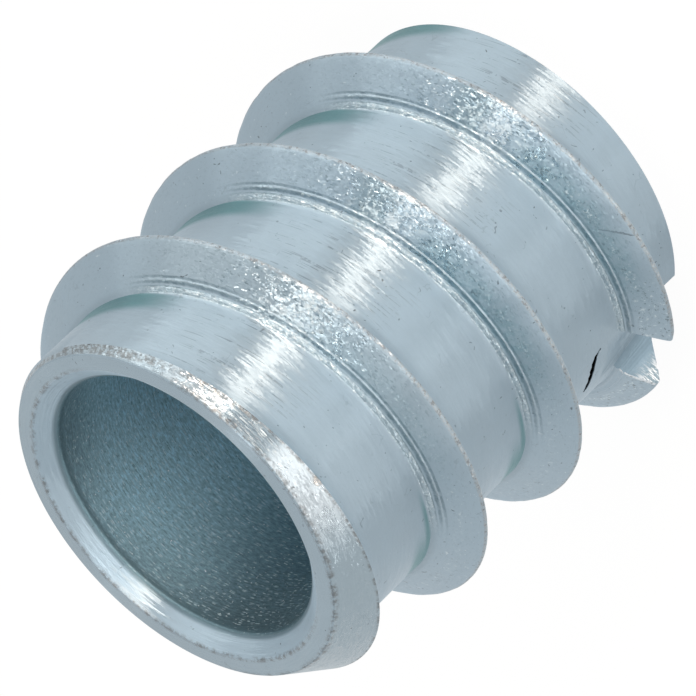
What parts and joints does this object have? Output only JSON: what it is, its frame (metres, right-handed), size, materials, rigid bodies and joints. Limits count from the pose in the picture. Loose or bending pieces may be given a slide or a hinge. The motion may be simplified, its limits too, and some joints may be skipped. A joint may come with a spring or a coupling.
{
  "type": "threaded insert",
  "caption": "Short hollow screw-in insert for wood: coarse right-hand outer thread, plain through bore, countersunk tapered mouth and a cutting slot at the leading end. Zinc-plated steel.",
  "frame": {"origin": "on the axis of the bore, at the flat leading end that the insert stands on", "axes": "+Z along the bore, from the leading end up to the countersunk mouth; the cutting slot is towards -X"},
  "size_m": [0.012, 0.012, 0.0135],
  "materials": {
    "zinc_steel": "pale blue-grey zinc plate, satin, with fine turning lines and worn brownish edges"
  },
  "bodies": {
    "root": {"insert": "zinc_steel"}
  },
  "joints": []
}
